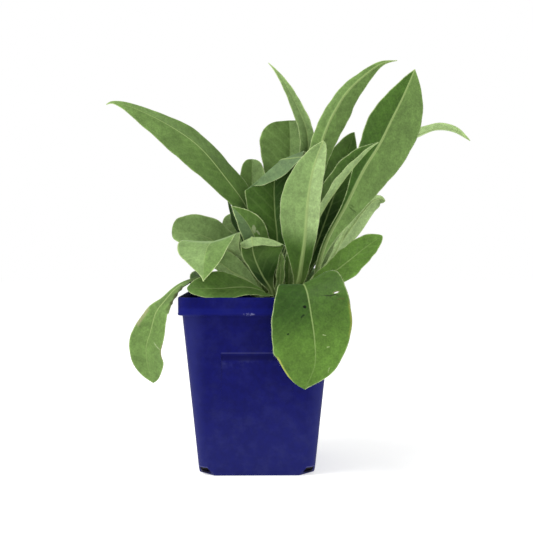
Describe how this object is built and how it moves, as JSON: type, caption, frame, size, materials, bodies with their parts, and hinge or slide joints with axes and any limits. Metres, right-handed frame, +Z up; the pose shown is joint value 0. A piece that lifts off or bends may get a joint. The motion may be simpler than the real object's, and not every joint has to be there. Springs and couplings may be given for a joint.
{
  "type": "potted bachelors button",
  "caption": "Young bachelor's button plant in a square blue plastic nursery pot: a clump of long pointed and broad blunt leaves, some of them bent or drooping over the rim.",
  "frame": {"origin": "centre of the pot's flat underside, where it rests", "axes": "+Z up; the pot's front, with the sunk panel and the broad bent leaf, faces -Y; +X is to the right of the front"},
  "size_m": [0.2744, 0.1598, 0.3054],
  "materials": {
    "pot_plastic": "satin",
    "potting_soil": "matte",
    "shoot_green": "satin",
    "leaf_green": "satin"
  },
  "bodies": {
    "root": {"pot": "pot_plastic", "potting_soil": "potting_soil", "shoot_front_left": "shoot_green", "shoot_front_right": "shoot_green", "shoot_back_left": "shoot_green", "shoot_back_right": "shoot_green", "leaf_upper_left": "leaf_green", "leaf_top_narrow": "leaf_green", "leaf_top_arched": "leaf_green", "leaf_tall_right": "leaf_green", "leaf_far_right": "leaf_green", "leaf_round_back": "leaf_green", "leaf_small_back": "leaf_green", "leaf_folded_standing": "leaf_green", "leaf_front_pale": "leaf_green", "leaf_dark_back": "leaf_green", "leaf_keeled": "leaf_green", "leaf_right_behind": "leaf_green", "leaf_right_low": "leaf_green", "leaf_front_bent": "leaf_green", "leaf_crown_folded": "leaf_green", "leaf_left_bent": "leaf_green", "leaf_left_under": "leaf_green", "leaf_left_round": "leaf_green", "leaf_left_behind": "leaf_green", "leaf_left_dark": "leaf_green", "leaf_left_inner": "leaf_green", "leaf_rim_low": "leaf_green", "leaf_left_drooped": "leaf_green", "leaf_young_left": "leaf_green", "leaf_young_centre": "leaf_green", "leaf_young_right": "leaf_green", "leaf_back_left": "leaf_green", "leaf_back_centre": "leaf_green", "leaf_back_right": "leaf_green", "leaf_back_drooped": "leaf_green", "leaf_back_low_left": "leaf_green", "leaf_back_low_right": "leaf_green", "leaf_back_inner": "leaf_green"}
  },
  "joints": []
}
